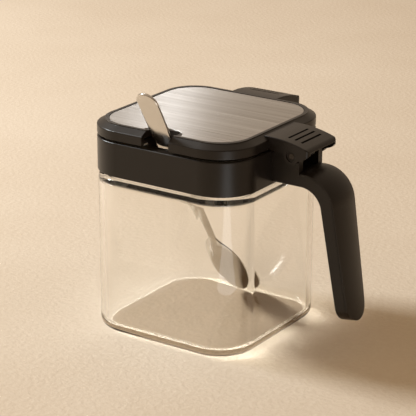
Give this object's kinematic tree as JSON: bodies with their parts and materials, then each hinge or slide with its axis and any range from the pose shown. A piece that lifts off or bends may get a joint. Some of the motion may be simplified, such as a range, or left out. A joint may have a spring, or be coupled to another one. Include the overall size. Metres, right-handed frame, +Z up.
{
  "type": "seasoning jar",
  "caption": "Square glass seasoning jar with a collar and side handle, a hinged lid worked by a thumb lever, and a spoon through a notch in the lid.",
  "frame": {"origin": "middle of the flat foot of the glass, on the surface that the jar stands on", "axes": "+Z up, +X towards the handle and the hinge, -Y towards the spoon's notch, +Y towards the plain finger tab"},
  "size_m": [0.1196, 0.1091, 0.1185],
  "materials": {
    "clear_glass": "clear pressed glass, smooth",
    "black_plastic": "satin warm black",
    "brushed_plate": "brushed in straight lines along X",
    "polished_steel": "polished",
    "plain_steel": "plain bright steel",
    "silicone": "translucent pale silicone",
    "adhesive": "foam tape"
  },
  "bodies": {
    "jar": {"glass_jar": "clear_glass", "neck_gasket": "silicone", "collar": "black_plastic", "handle": "black_plastic", "handle_cover": "black_plastic", "handle_screws": "plain_steel", "hinge_spring": "plain_steel"},
    "lid": {"lid_frame": "black_plastic", "top_plate": "brushed_plate", "plate_adhesive": "adhesive", "inner_lid": "black_plastic", "inner_lid_screws": "plain_steel", "lid_seal": "silicone", "hinge_pin": "plain_steel"},
    "spoon": {"spoon": "polished_steel"}
  },
  "joints": [
    {"name": "lid_hinge", "type": "hinge", "parent": "jar", "child": "lid", "pos_m": [0.051, 0, 0.0897], "axis": [0, 1, 0], "range_deg": [0, 62], "stiffness_Nm_per_rad": 0.02, "springref_deg": -28.65, "deforming": ["hinge_spring"]},
    {"name": "spoon_lift", "type": "slide", "parent": "jar", "child": "spoon", "axis": [0, -0.5546, 0.8321], "range_m": [0, 0.045]}
  ]
}
